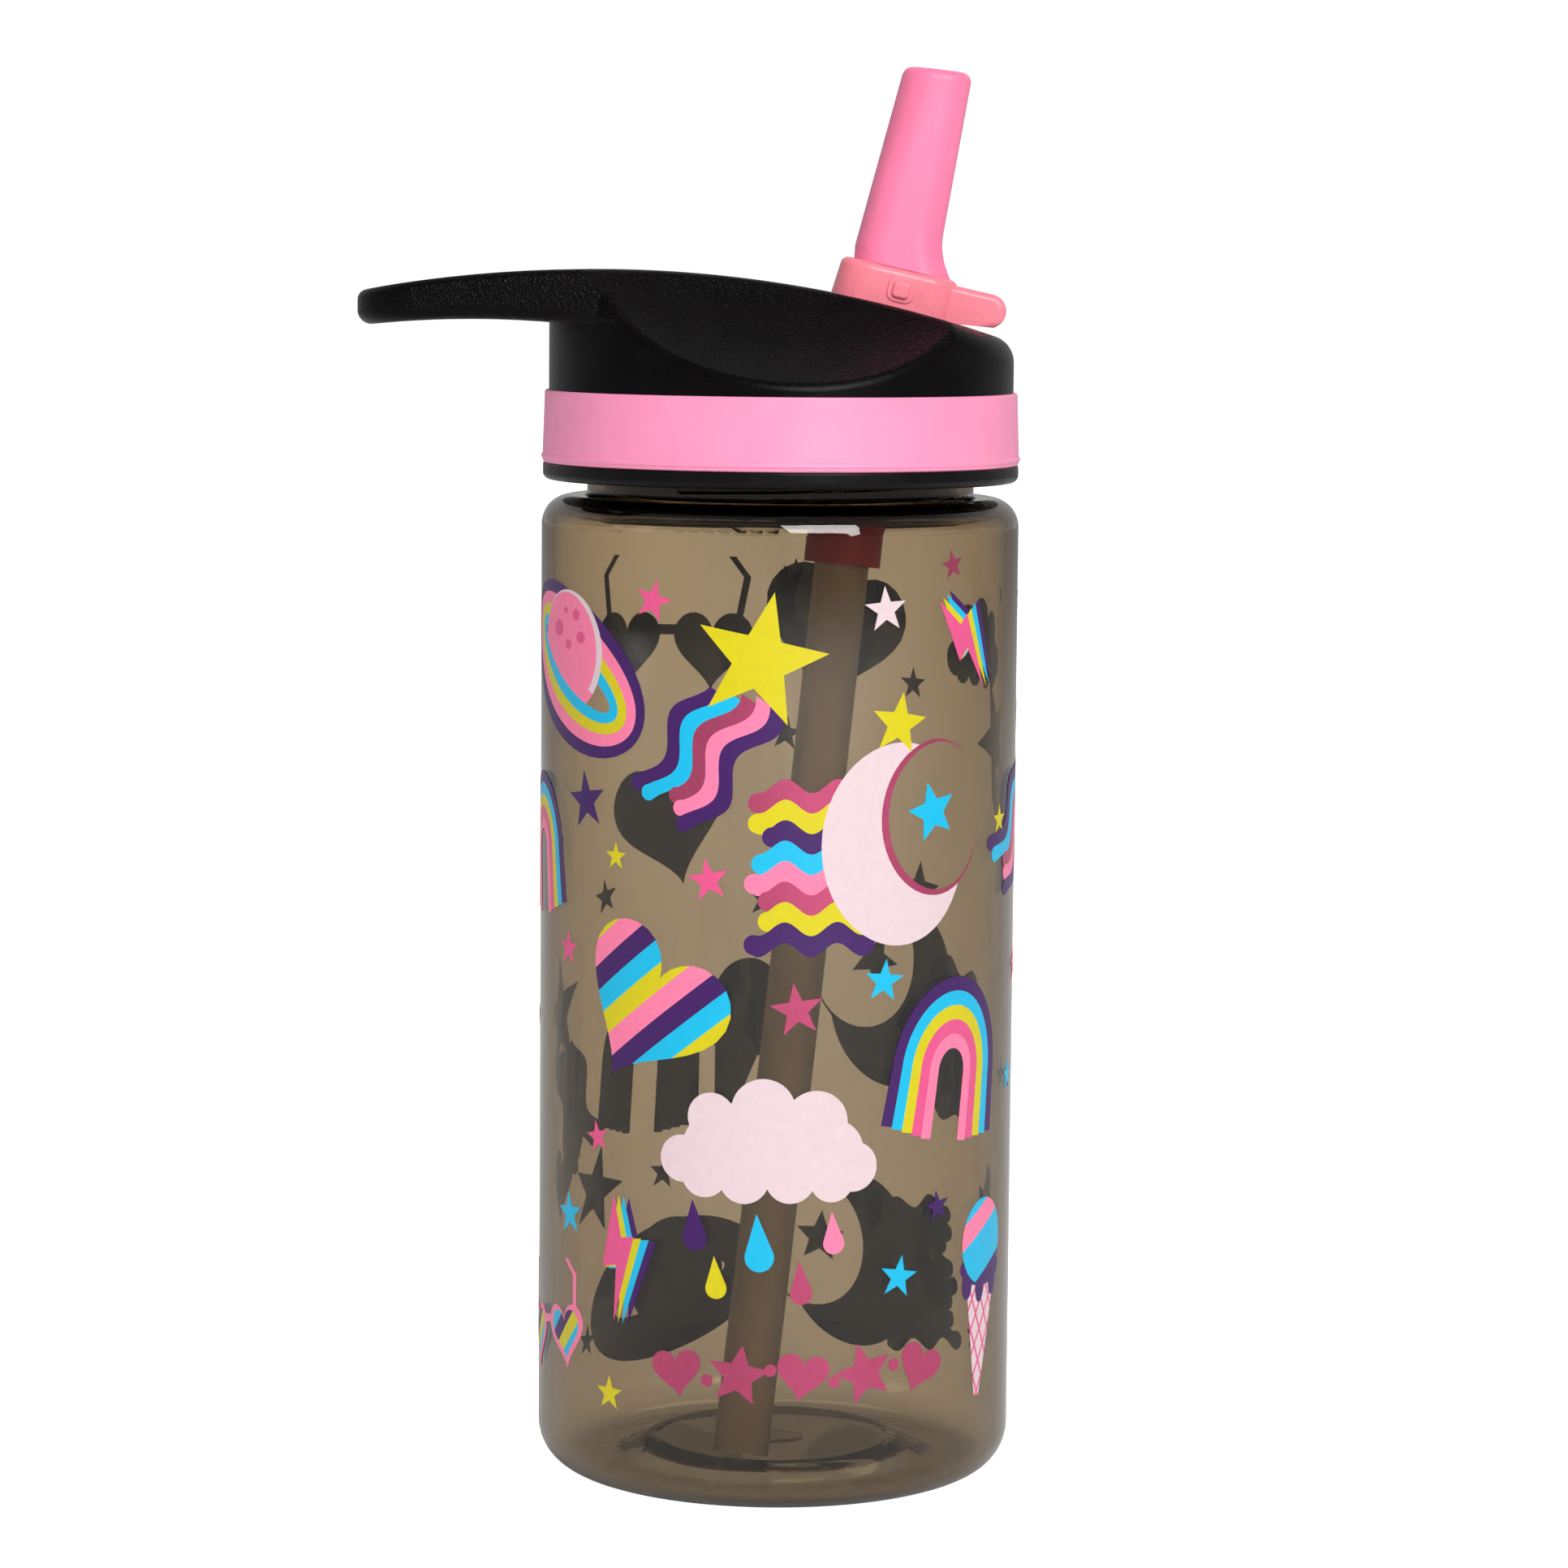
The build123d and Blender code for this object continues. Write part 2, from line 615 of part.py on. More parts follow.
# ---------------------------------------------------------------- mouthpiece
# Flared towards the tab at its seat, then tapering evenly to the tip.
over_tip = mouth_top + 3        # the blank stands this much above the tip, which is cut slanting
blank_half_w = mouth_half_w[0] + (mouth_half_w[1] - mouth_half_w[0]) * (
    over_tip - mouth_seat) / (mouth_top - mouth_seat)
waist_to_tip = (mouth_tip_out[1] - mouth_waist_out, mouth_top - mouth_waist_up)
with BuildPart() as mouthpiece:
    with BuildSketch(spout_side):
        with BuildLine():
            Polyline(
                (mouth_tip_out[1], over_tip),
                (mouth_tip_out[0], over_tip),
                (mouth_bulge_out, mouth_seat + mouth_bulge_up),
                (mouth_bulge_out + mouth_bulge_tuck, mouth_seat),
                (mouth_flare_out, mouth_seat),
            )
            Spline(
                (mouth_flare_out, mouth_seat),
                (mouth_waist_out, mouth_waist_up),
                tangents=((-0.75, 1), waist_to_tip),
            )
            Line((mouth_waist_out, mouth_waist_up), (mouth_tip_out[1], over_tip))
        make_face()
    extrude(amount=mouth_half_w[0] + 1, both=True)
    with BuildSketch(Plane(origin=pivot, x_dir=(0, 1, 0), z_dir=spout_out)):
        with BuildLine():
            Polyline(
                (-mouth_half_w[0], mouth_seat),
                (mouth_half_w[0], mouth_seat),
                (blank_half_w, over_tip),
                (-blank_half_w, over_tip),
                close=True,
            )
        make_face()
    extrude(amount=2 * drum_r, both=True, mode=Mode.INTERSECT)
    upright = mouthpiece.edges().filter_by(
        lambda e: abs((e @ 0.5).Y) > 5 and abs(e.tangent_at(0.5).dot(spout_up)) > 0.5)
    fillet(upright, mouth_corner_r)
    slant = Plane(origin=pivot + spout_up * mouth_top, x_dir=(0, 1, 0),
                  z_dir=spout_up.rotate(Axis.Y, -mouth_top_slant))
    split(bisect_by=slant, keep=Keep.BOTTOM)
    tip = mouthpiece.faces().sort_by(Axis(pivot, spout_up))[-1]
    fillet(tip.edges(), mouth_edge_r)
    with BuildSketch(spout_cross):
        Circle(core_r)
    extrude(amount=core_top, mode=Mode.SUBTRACT)
    with BuildSketch(spout_cross):
        Circle(duct_r)
    extrude(amount=2 * mouth_top, mode=Mode.SUBTRACT)
write(mouthpiece.part, "mouthpiece", (1.0, 0.47, 0.67))


# ---------------------------------------------------------------- straw sleeve
with BuildPart() as straw_sleeve:
    with BuildSketch(stub_cross.offset(sleeve_span[0])):
        Circle(sleeve_r)
        Circle(straw_r, mode=Mode.SUBTRACT)
    extrude(amount=sleeve_span[1] - sleeve_span[0])
write(straw_sleeve.part, "straw_sleeve", (0.9, 0.25, 0.4))


# ---------------------------------------------------------------- straw
with BuildPart() as straw:
    with BuildLine() as straw_line:
        inside_sleeve = Line(port + stub_down * straw_start, port + stub_down * straw_bend)
        TangentArc(inside_sleeve @ 1, straw_end, tangent=stub_down)
    with BuildSketch(stub_cross.offset(straw_start)):
        Circle(straw_r)
        Circle(straw_r - straw_wall, mode=Mode.SUBTRACT)
    sweep(path=straw_line.line)
write(straw.part, "straw", (0.95, 0.95, 0.92, 0.6))


# ---------------------------------------------------------------- vent valve
# An umbrella valve: its disc closes the breathing holes from below and lets air in.
vent_axis = Axis((vent_x, 0, 0), (0, 0, 1))
with BuildPart() as vent_valve:
    with BuildSketch(Plane(origin=(vent_x, 0, 0), x_dir=(1, 0, 0), z_dir=(0, -1, 0))):
        with BuildLine():
            Polyline(
                (0, deck_z - vent_disc_thick[0]),
                (vent_stem_r, deck_z - vent_disc_thick[0]),
                (vent_disc_r, deck_z - vent_disc_thick[1]),
                (vent_disc_r, deck_z),
                (vent_stem_r, deck_z),
                (vent_stem_r, deck_top_z),
                (vent_bulb_r, deck_top_z),
                (vent_stem_r, deck_top_z + vent_bulb_h),
                (0, deck_top_z + vent_bulb_h),
                close=True,
            )
        make_face()
    revolve(axis=vent_axis)
write(vent_valve.part, "vent_valve", (0.9, 0.9, 0.9))
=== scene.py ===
"""Looks for the kids water bottle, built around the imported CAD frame.

Metres, +Z up. The camera stands on the -Y side, the spout's tab points to +X.
Places on the barrel are given as (direction, height): the direction in degrees from -Y
towards +X, the height in millimetres. Motifs are drawn flat in millimetres, then wrapped
round the barrel.
"""

import math

import bpy
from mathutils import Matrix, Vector
from mathutils.geometry import delaunay_2d_cdt


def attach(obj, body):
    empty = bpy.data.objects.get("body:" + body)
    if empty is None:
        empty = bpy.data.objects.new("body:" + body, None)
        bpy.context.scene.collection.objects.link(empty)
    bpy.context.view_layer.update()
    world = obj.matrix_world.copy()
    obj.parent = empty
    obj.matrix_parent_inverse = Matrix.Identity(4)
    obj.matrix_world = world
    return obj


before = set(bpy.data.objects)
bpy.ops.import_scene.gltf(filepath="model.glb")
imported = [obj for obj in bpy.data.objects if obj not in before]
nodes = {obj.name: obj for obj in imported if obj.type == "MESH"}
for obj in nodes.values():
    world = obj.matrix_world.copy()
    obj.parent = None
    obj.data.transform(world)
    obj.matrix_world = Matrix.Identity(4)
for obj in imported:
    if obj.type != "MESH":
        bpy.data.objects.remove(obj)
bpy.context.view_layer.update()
scene = bpy.context.scene

MM = 0.001

# ---------------------------------------------------------------- camera
CAMERA_DISTANCE = 0.720
CAMERA_HEIGHT = 0.178
CAMERA_SIDE = 0.00024   # off the bottle's axis, towards +X
CAMERA_PITCH = 6.05     # degrees down
CAMERA_ROLL = -0.5      # degrees
FOCAL = 112.5           # mm
SENSOR = 36.0           # mm
CLIP = (0.05, 50.0)     # nearest and furthest distance seen

camera_data = bpy.data.cameras.new("camera")
camera_data.lens = FOCAL
camera_data.sensor_width = SENSOR
camera_data.clip_start, camera_data.clip_end = CLIP
camera = bpy.data.objects.new("camera", camera_data)
camera.location = (CAMERA_SIDE, -CAMERA_DISTANCE, CAMERA_HEIGHT)
camera.rotation_euler = (math.radians(90 - CAMERA_PITCH), math.radians(CAMERA_ROLL), 0)
scene.collection.objects.link(camera)
scene.camera = camera


# ---------------------------------------------------------------- materials
def new_material(name):
    """A material with one Principled node, and that node."""
    material = bpy.data.materials.new(name)
    material.use_nodes = True
    shader = material.node_tree.nodes["Principled BSDF"]
    return material, shader


def set_values(shader, **values):
    """Sets sockets by name, with _ for a space."""
    for name, value in values.items():
        shader.inputs[name.replace("_", " ")].default_value = value


def rgb(red, green, blue):
    """A linear colour from 0-255 display values."""
    def linear(value):
        share = value / 255
        return share / 12.92 if share <= 0.04045 else ((share + 0.055) / 1.055) ** 2.4
    return (linear(red), linear(green), linear(blue), 1.0)


def add_node(tree, kind, **settings):
    """A node with its sockets and settings given by name."""
    node = tree.nodes.new(kind)
    for name, value in settings.items():
        if name in node.inputs:
            node.inputs[name].default_value = value
        else:
            setattr(node, name, value)
    return node


def object_point(tree):
    """The shaded point in the piece's own coordinates, so that textures move with the piece."""
    return add_node(tree, "ShaderNodeTexCoord").outputs["Object"]


def noise(tree, size, detail=2.0, roughness=0.5):
    """Noise with features about size millimetres across, fixed to the piece."""
    node = add_node(tree, "ShaderNodeTexNoise", Detail=detail, Roughness=roughness,
                    Scale=1 / (size * MM))
    tree.links.new(object_point(tree), node.inputs["Vector"])
    return node.outputs["Fac"]


def spread(tree, value, low, high, in_low=0.3, in_high=0.7):
    """value mapped from in_low..in_high to low..high."""
    node = add_node(tree, "ShaderNodeMapRange")
    tree.links.new(value, node.inputs["Value"])
    for name, number in (("From Min", in_low), ("From Max", in_high),
                         ("To Min", low), ("To Max", high)):
        node.inputs[name].default_value = number
    return node.outputs["Result"]


def math_node(tree, operation, first, second=None):
    """The result of an operation on numbers or sockets."""
    node = add_node(tree, "ShaderNodeMath", operation=operation)
    for socket, value in zip(node.inputs, (first, second)):
        if value is None:
            continue
        if isinstance(value, (int, float)):
            socket.default_value = value
        else:
            tree.links.new(value, socket)
    return node.outputs["Value"]


def tint(tree, factor, dark, light):
    """A colour between dark and light."""
    node = add_node(tree, "ShaderNodeMixRGB", Color1=dark, Color2=light)
    tree.links.new(factor, node.inputs["Fac"])
    return node.outputs["Color"]


def bump(tree, shader, height, depth, strength=1.0):
    """Raises the surface by depth millimetres where height is 1."""
    node = add_node(tree, "ShaderNodeBump", Strength=strength, Distance=depth * MM)
    tree.links.new(height, node.inputs["Height"])
    tree.links.new(node.outputs["Normal"], shader.inputs["Normal"])


COLOUR_PATCH = 9.0              # size of the drift in colour, mm
GLOSS_PATCH = 2.5               # size of the drift in gloss, mm
GLOSS_DRIFT = (-0.05, 0.06)     # added to the roughness


def moulded(name, colour, roughness, depth=0.02, grain=0.35, shade=0.06, **values):
    """Moulded plastic or silicone: fine surface texture, uneven gloss and a slight colour drift."""
    material, shader = new_material(name)
    tree = material.node_tree
    dark = tuple(c * (1 - shade) for c in colour[:3]) + (1.0,)
    light = tuple(min(1.0, c * (1 + shade)) for c in colour[:3]) + (1.0,)
    tree.links.new(tint(tree, spread(tree, noise(tree, COLOUR_PATCH, 3.0), 0, 1), dark, light),
                   shader.inputs["Base Color"])
    tree.links.new(spread(tree, noise(tree, GLOSS_PATCH, 4.0),
                          *(roughness + drift for drift in GLOSS_DRIFT)),
                   shader.inputs["Roughness"])
    if depth:
        bump(tree, shader, noise(tree, grain, 2.0), depth)
    set_values(shader, **values)
    return material


def clear_plastic(name, colour, density, ior=1.54):
    """Clear plastic that takes its tint from the thickness the light passes."""
    material, shader = new_material(name)
    tree = material.node_tree
    set_values(shader, Base_Color=(1, 1, 1, 1), Roughness=0.0, IOR=ior, Transmission_Weight=1.0)
    volume = add_node(tree, "ShaderNodeVolumeAbsorption", Color=colour, Density=density)
    tree.links.new(volume.outputs["Volume"], tree.nodes["Material Output"].inputs["Volume"])
    return material


WALL_INSIDE = (0.0334, 0.0338)      # radii where the grain ends at the cover's smooth wall
LOOP_FOOT = (0.1696, 0.1702)        # heights where it starts again on the finger loop
GRAIN_CELL = 0.38                   # mm
GRAIN_WARP = 0.5                    # size of the noise that bends the cells, mm
GRAIN_SHIFT = 0.0005                # how far it moves them
GRAIN_DEPTH = 0.11                  # mm
FINE_CELL = 0.25                    # finer grain over the whole cover, mm
FINE_SHARE = 0.35
SMOOTH_ROUGHNESS, GRAIN_ROUGHNESS = 0.28, 0.23
COVER_PATCH = 6.0                   # size of the drift in colour, mm
COVER_DARK, COVER_LIGHT = (0.0022, 0.0018, 0.0018, 1), (0.0040, 0.0034, 0.0034, 1)


def grained_black(name):
    """Black plastic with leather grain on the crown, hollows and loop, and a smooth wall."""
    material, shader = new_material(name)
    tree = material.node_tree
    point = object_point(tree)
    parts = add_node(tree, "ShaderNodeSeparateXYZ")
    tree.links.new(point, parts.inputs["Vector"])
    radius = math_node(tree, "SQRT", math_node(
        tree, "ADD",
        math_node(tree, "MULTIPLY", parts.outputs["X"], parts.outputs["X"]),
        math_node(tree, "MULTIPLY", parts.outputs["Y"], parts.outputs["Y"])))
    off_wall = spread(tree, radius, 1, 0, *WALL_INSIDE)
    on_loop = spread(tree, parts.outputs["Z"], 0, 1, *LOOP_FOOT)
    grained = math_node(tree, "MAXIMUM", off_wall, on_loop)
    cells = add_node(tree, "ShaderNodeTexVoronoi", feature="F1", Scale=1 / (GRAIN_CELL * MM))
    warp = add_node(tree, "ShaderNodeTexNoise", Scale=1 / (GRAIN_WARP * MM), Detail=2.0)
    tree.links.new(point, warp.inputs["Vector"])
    moved = add_node(tree, "ShaderNodeVectorMath", operation="MULTIPLY_ADD")
    tree.links.new(warp.outputs["Color"], moved.inputs[0])
    moved.inputs[1].default_value = (GRAIN_SHIFT,) * 3
    tree.links.new(point, moved.inputs[2])
    tree.links.new(moved.outputs["Vector"], cells.inputs["Vector"])
    grain = math_node(tree, "MULTIPLY", cells.outputs["Distance"], grained)
    fine = math_node(tree, "MULTIPLY", noise(tree, FINE_CELL), FINE_SHARE)
    bump(tree, shader, math_node(tree, "ADD", grain, fine), GRAIN_DEPTH)
    tree.links.new(spread(tree, grained, SMOOTH_ROUGHNESS, GRAIN_ROUGHNESS, 0, 1),
                   shader.inputs["Roughness"])
    tree.links.new(tint(tree, spread(tree, noise(tree, COVER_PATCH, 4.0), 0, 1),
                        COVER_DARK, COVER_LIGHT),
                   shader.inputs["Base Color"])
    set_values(shader, Specular_IOR_Level=0.075)
    return material


TINT = (0.42, 0.29, 0.06, 1.0)
TINT_DENSITY = 640.0


def scatter(weight, green, blue, scale=0.001):
    """Values for plastic that light enters a little; red goes furthest, scale is in metres."""
    return {"Subsurface_Weight": weight, "Subsurface_Radius": (1.0, green, blue),
            "Subsurface_Scale": scale}


body_material = clear_plastic("tinted_body", TINT, TINT_DENSITY)
cap_material = moulded("cap_black", (0.0036, 0.003, 0.003), 0.32, depth=0.01, shade=0.2,
                       Specular_IOR_Level=0.16)
cover_material = grained_black("cover_black")
band_material = moulded("band_pink", rgb(252, 150, 187), 0.42, depth=0.012, grain=0.3, shade=0.04,
                        **scatter(0.15, 0.4, 0.5))
mouth_material = moulded("mouthpiece_pink", rgb(251, 128, 168), 0.42, depth=0.015, grain=0.4,
                         shade=0.04, **scatter(0.3, 0.35, 0.45, 0.0015))
base_material = moulded("spout_coral", rgb(252, 134, 150), 0.30, depth=0.03, grain=0.5, shade=0.05,
                        **scatter(0.15, 0.35, 0.35))
sleeve_material = moulded("sleeve_crimson", rgb(236, 22, 78), 0.4, depth=0.01, shade=0.05,
                          **scatter(0.2, 0.3, 0.4))
straw_material = moulded("straw_natural", rgb(252, 240, 226), 0.42, depth=0.0, shade=0.02,
                         Transmission_Weight=0.68, IOR=1.3)
silicone_material = moulded("silicone_clear", rgb(226, 226, 222), 0.38, depth=0.01, shade=0.03,
                            Transmission_Weight=0.5, IOR=1.42)

for node_name, material in (
    ("bottle_body", body_material),
    ("threaded_cap", cap_material),
    ("neck_gasket", silicone_material),
    ("grip_band", band_material),
    ("lid_cover", cover_material),
    ("spout_seal", silicone_material),
    ("spout_base", base_material),
    ("mouthpiece", mouth_material),
    ("straw_sleeve", sleeve_material),
    ("straw", straw_material),
    ("vent_valve", silicone_material),
):
    node = nodes[node_name]
    node.data.materials.clear()
    node.data.materials.append(material)

# ---------------------------------------------------------------- inks
BARREL_R = 35.0
INK_GAP = 0.02          # between the barrel and the ink's inner face, mm
INK_THICK = 0.05
GRID = 1.6              # width of the strips that let an ink follow the barrel, mm
GRID_SHIFT = 0.0137     # keeps the strips' edges off the drawings' own corners, mm
INK_SHADE = 0.93        # the darker share of an ink's uneven colour


def ink(name, colour, **values):
    """Printed ink: slightly uneven colour on a fine texture."""
    material, shader = new_material(name)
    tree = material.node_tree
    dark = tuple(c * INK_SHADE for c in colour[:3]) + (1.0,)
    tree.links.new(tint(tree, spread(tree, noise(tree, 1.2, 4.0), 0, 1), dark, colour),
                   shader.inputs["Base Color"])
    bump(tree, shader, noise(tree, 0.35), 0.006)
    set_values(shader, **{"Roughness": 0.38, **values})
    return material


INKS = {
    "yellow": ink("ink_yellow", rgb(218, 203, 0)),
    "cyan": ink("ink_cyan", rgb(0, 188, 232)),
    "purple": ink("ink_purple", rgb(62, 10, 96)),
    "pink": ink("ink_pink", rgb(255, 128, 168)),
    "pale": ink("ink_pale", rgb(230, 206, 211)),
    "deep": ink("ink_deep", rgb(232, 84, 140)),
    "foil": ink("ink_foil", rgb(214, 92, 132), Metallic=0.9, Roughness=0.34),
    "back": ink("ink_back", (0.003, 0.0015, 0.002, 1.0), Roughness=0.6,
                Specular_IOR_Level=0.1),    # the side that faces the barrel
}
INK_ORDER = list(INKS)


def turned(points, angle, centre=(0.0, 0.0)):
    """points turned by angle degrees about the origin, then moved to centre."""
    c, s = math.cos(math.radians(angle)), math.sin(math.radians(angle))
    return [(x * c - y * s + centre[0], x * s + y * c + centre[1]) for x, y in points]


def ellipse(centre, rx, ry, angle=0.0, count=48):
    steps = [2 * math.pi * k / count for k in range(count)]
    return turned([(rx * math.cos(t), ry * math.sin(t)) for t in steps], angle, centre)


def star_points(centre, radius, angle=0.0, waist=0.42):
    """A five-pointed star; waist is the share of the radius left between the points."""
    out = []
    for k in range(10):
        r = radius * (waist if k % 2 else 1.0)
        t = math.pi / 2 + math.pi * k / 5
        out.append((r * math.cos(t), r * math.sin(t)))
    return turned(out, angle, centre)


def heart_points(centre, width, angle=0.0, count=44):
    """The usual heart curve, which is 32 wide before it is scaled."""
    out = []
    for k in range(count):
        t = 2 * math.pi * k / count
        x = 16 * math.sin(t) ** 3
        y = 13 * math.cos(t) - 5 * math.cos(2 * t) - 2 * math.cos(3 * t) - math.cos(4 * t)
        out.append((-x * width / 32, y * width / 32))
    return turned(out, angle, centre)


def drop_points(centre, height, angle=0.0, count=28):
    """A round drop with its point on top."""
    r = height * 0.25
    out = [(0, height * 0.5)]
    for k in range(count + 1):
        t = math.radians(155 + 230 * k / count)
        out.append((r * math.cos(t), r * math.sin(t) - height * 0.25))
    return turned(out, angle, centre)


def along(path, across, low, high):
    """The strip between the offsets low and high of a path; across gives its sideways direction."""
    first = [(x + across[0] * low, y + across[1] * low) for x, y in path]
    second = [(x + across[0] * high, y + across[1] * high) for x, y in path]
    return first + second[::-1]


RIBBON_OVERLAP = 1.04   # share of its width that a ribbon covers, so that no gap shows
RIBBON_STEP = 0.5       # mm


def ribbons(start, end, width, colours, height, wavelength, stagger=1.6, lead=0.0):
    """Wavy stripes side by side, from start to end, with round, uneven ends.

    The first one starts lead further on than the last.
    """
    (x0, y0), (x1, y1) = start, end
    length = math.hypot(x1 - x0, y1 - y0)
    dx, dy = (x1 - x0) / length, (y1 - y0) / length
    sideways = (-dy, dx)
    shapes = []
    for k, colour in enumerate(colours):
        reach = length + stagger * math.sin(1.9 * k + 0.6)
        low = (k - len(colours) / 2) * width
        path = []
        skipped = lead * (1 - k / (len(colours) - 1))
        for j in range(int((reach - skipped) / RIBBON_STEP) + 1):
            t = skipped + j * RIBBON_STEP
            wave = height * math.sin(2 * math.pi * t / wavelength)
            path.append((x0 + dx * t + sideways[0] * wave, y0 + dy * t + sideways[1] * wave))
        shapes.append((colour, along(path, sideways, low, low + width * RIBBON_OVERLAP)))
        shapes.append((colour, ellipse((path[-1][0] + sideways[0] * (low + width / 2),
                                        path[-1][1] + sideways[1] * (low + width / 2)),
                                       width / 2, width / 2, count=16)))
    return shapes


def grown(shapes, share):
    """The same shapes, made larger round (0, 0)."""
    return [(colour, *[[(x * share, y * share) for x, y in outline] for outline in outlines])
            for colour, *outlines in shapes]


def half_ellipse(centre, rx, ry, angle, count=40):
    """The lower half of an ellipse."""
    out = []
    for k in range(count + 1):
        t = math.radians(180.0 + 180.0 * k / count)
        out.append((rx * math.cos(t), ry * math.sin(t)))
    return turned(out, angle, centre)


# ---------------------------------------------------------------- motifs, drawn round (0, 0)
def comet():
    """A star with a tail of ribbons."""
    shapes = ribbons((-1.4, -3.2), (-13.0, -20.5), 2.35, ["purple", "cyan", "foil", "pink", "purple"],
                     height=1.5, wavelength=13.0, lead=3.6)
    shapes.append(("yellow", star_points((0, 0), 9.9, -12, 0.40)))
    return shapes


def moon():
    """A crescent moon with striped waves and two stars."""
    shapes = ribbons((-1.0, -5.5), (-17.5, -5.5), 2.9,
                     ["foil", "yellow", "purple", "cyan", "pink", "foil", "yellow", "purple"],
                     height=1.0, wavelength=7.5, stagger=1.4)
    shapes.append(("pale", ellipse((3.0, -2.5), 12.0, 14.5)))
    shapes.append(("foil", ellipse((9.3, 1.0), 9.4, 11.2)))
    shapes.append((None, ellipse((9.9, 1.2), 8.9, 10.6)))
    shapes.append(("cyan", star_points((8.6, 1.8), 4.4, 14, 0.45)))
    shapes.append(("yellow", star_points((2.6, 14.6), 4.6, -8, 0.42)))
    return shapes


def planet():
    """A spotted planet inside a striped ring."""
    ring = ((17.4, 10.2, "purple"), (15.9, 8.2, "pink"),
            (14.2, 6.2, "yellow"), (12.5, 4.4, "cyan"))
    middle, gap, tilt = (0.8, -2.4), (10.8, 2.5), -30
    globe = ellipse((0, 0), 8.6, 8.9)
    shapes = [(colour, ellipse(middle, rx, ry, tilt)) for rx, ry, colour in ring]
    shapes += [(None, ellipse(middle, *gap, tilt)), ("pale", globe),
               ("pink", ellipse((-0.5, 0.2), 7.9, 8.3), globe)]
    shapes += [("deep", ellipse(c, r, r * 0.8)) for c, r in
               (((-2.9, 3.2), 1.5), ((2.4, 5.4), 1.0), ((0.2, 1.0), 0.9), ((3.6, 2.2), 1.1),
                ((-0.6, 5.9), 0.6))]
    shapes += [(colour, half_ellipse(middle, rx, ry, tilt)) for rx, ry, colour in ring]
    inner = half_ellipse(middle, *gap, tilt)
    shapes += [(None, inner), ("pink", inner, globe)]
    return shapes


def striped_heart(width, angle, colours, slope, step=None):
    """A heart filled with stripes at slope degrees, each step wide."""
    outline = heart_points((0, 0), width, angle)
    step = step or width * 0.17
    shapes = [(colours[0], outline)]
    count = int(2.4 * width / step)
    for k in range(count):
        low = -1.2 * width + k * step
        strip = turned([(-width, low), (width, low), (width, low + step), (-width, low + step)],
                       slope)
        shapes.append((colours[k % len(colours)], strip, outline))
    return shapes


ARCH_COLOURS = ("purple", "cyan", "yellow", "deep", "pink")


def rainbow(width, leg):
    """A rainbow on straight legs."""
    shapes = []
    outer = width / 2
    band = outer / (len(ARCH_COLOURS) + 1.6)
    for k, colour in enumerate(ARCH_COLOURS + (None,)):
        r = outer - k * band
        arch = [(r * math.cos(t), r * 1.25 * math.sin(t)) for t in
                [math.pi * j / 32 for j in range(33)]]
        foot = leg + (0.35 * k if colour else 4.0)
        shapes.append((colour, arch + [(-r * 1.05, -foot), (r * 1.05, -foot)]))
    return shapes


def cloud(width=1.0, height=1.0):
    """A plain cloud of round lobes, each (x, y, radius)."""
    lobes = ((-12.7, -3.0, 3.4), (-8.4, 3.2, 3.5), (-0.9, 4.3, 4.6), (6.6, 2.6, 4.6),
             (12.1, -3.9, 3.6), (9.0, -5.7, 3.2), (3.0, -5.4, 3.6), (-3.6, -5.5, 3.6),
             (-9.4, -5.0, 3.4), (-8.0, -1.0, 4.6), (-3.0, -0.6, 6.4), (4.0, -0.6, 6.2),
             (9.0, -1.6, 4.6))
    return [("pale", ellipse((x * width, y * height), r * width, r * height))
            for x, y, r in lobes]


def bolt(height):
    """A lightning bolt in layers, each set a little to one side of the last."""
    scale = height / 14     # the outline below is 14 high
    outline = ((-0.6, 7.0), (-3.2, -1.1), (-0.5, -0.8), (-1.2, -7.0), (2.9, 2.5), (0.6, 2.3))
    colours = ("purple", "cyan", "yellow", "deep")
    shapes = []
    for k, colour in enumerate(colours):
        shift = (len(colours) - 1 - k) * 0.75
        shapes.append((colour, [((x * (1 - 0.08 * k) + shift) * scale, (y + 0.1 * k) * scale)
                                for x, y in outline]))
    return shapes


def cone():
    """An ice cream cone with a striped scoop."""
    shapes = [("pale", [(-3.6, 2.0), (3.6, 2.0), (0.5, -13.0), (-0.5, -13.0)])]
    body = shapes[0][1]
    for k in range(-4, 6):
        for slope in (62, -62):
            strip = turned([(-14, -0.16), (14, -0.16), (14, 0.16), (-14, 0.16)], slope,
                           (k * 2.0, -5.0))
            shapes.append(("deep", strip, body))
    top = ellipse((0, 5.6), 4.6, 5.2)
    shapes.append(("purple", ellipse((0, 2.4), 4.7, 2.2)))
    for x, y in ((-3.2, 0.6), (-0.4, 0.1), (2.8, 0.7)):
        shapes.append(("purple", ellipse((x, y), 1.0, 1.9)))
    shapes.append(("cyan", top))
    for low, colour in ((-6.0, "purple"), (-2.6, "cyan"), (1.4, "pink")):
        strip = turned([(-12, low), (12, low), (12, low + 2.6), (-12, low + 2.6)], 32, (0, 5.6))
        shapes.append((colour, strip, top))
    return grown(shapes, 1.22)


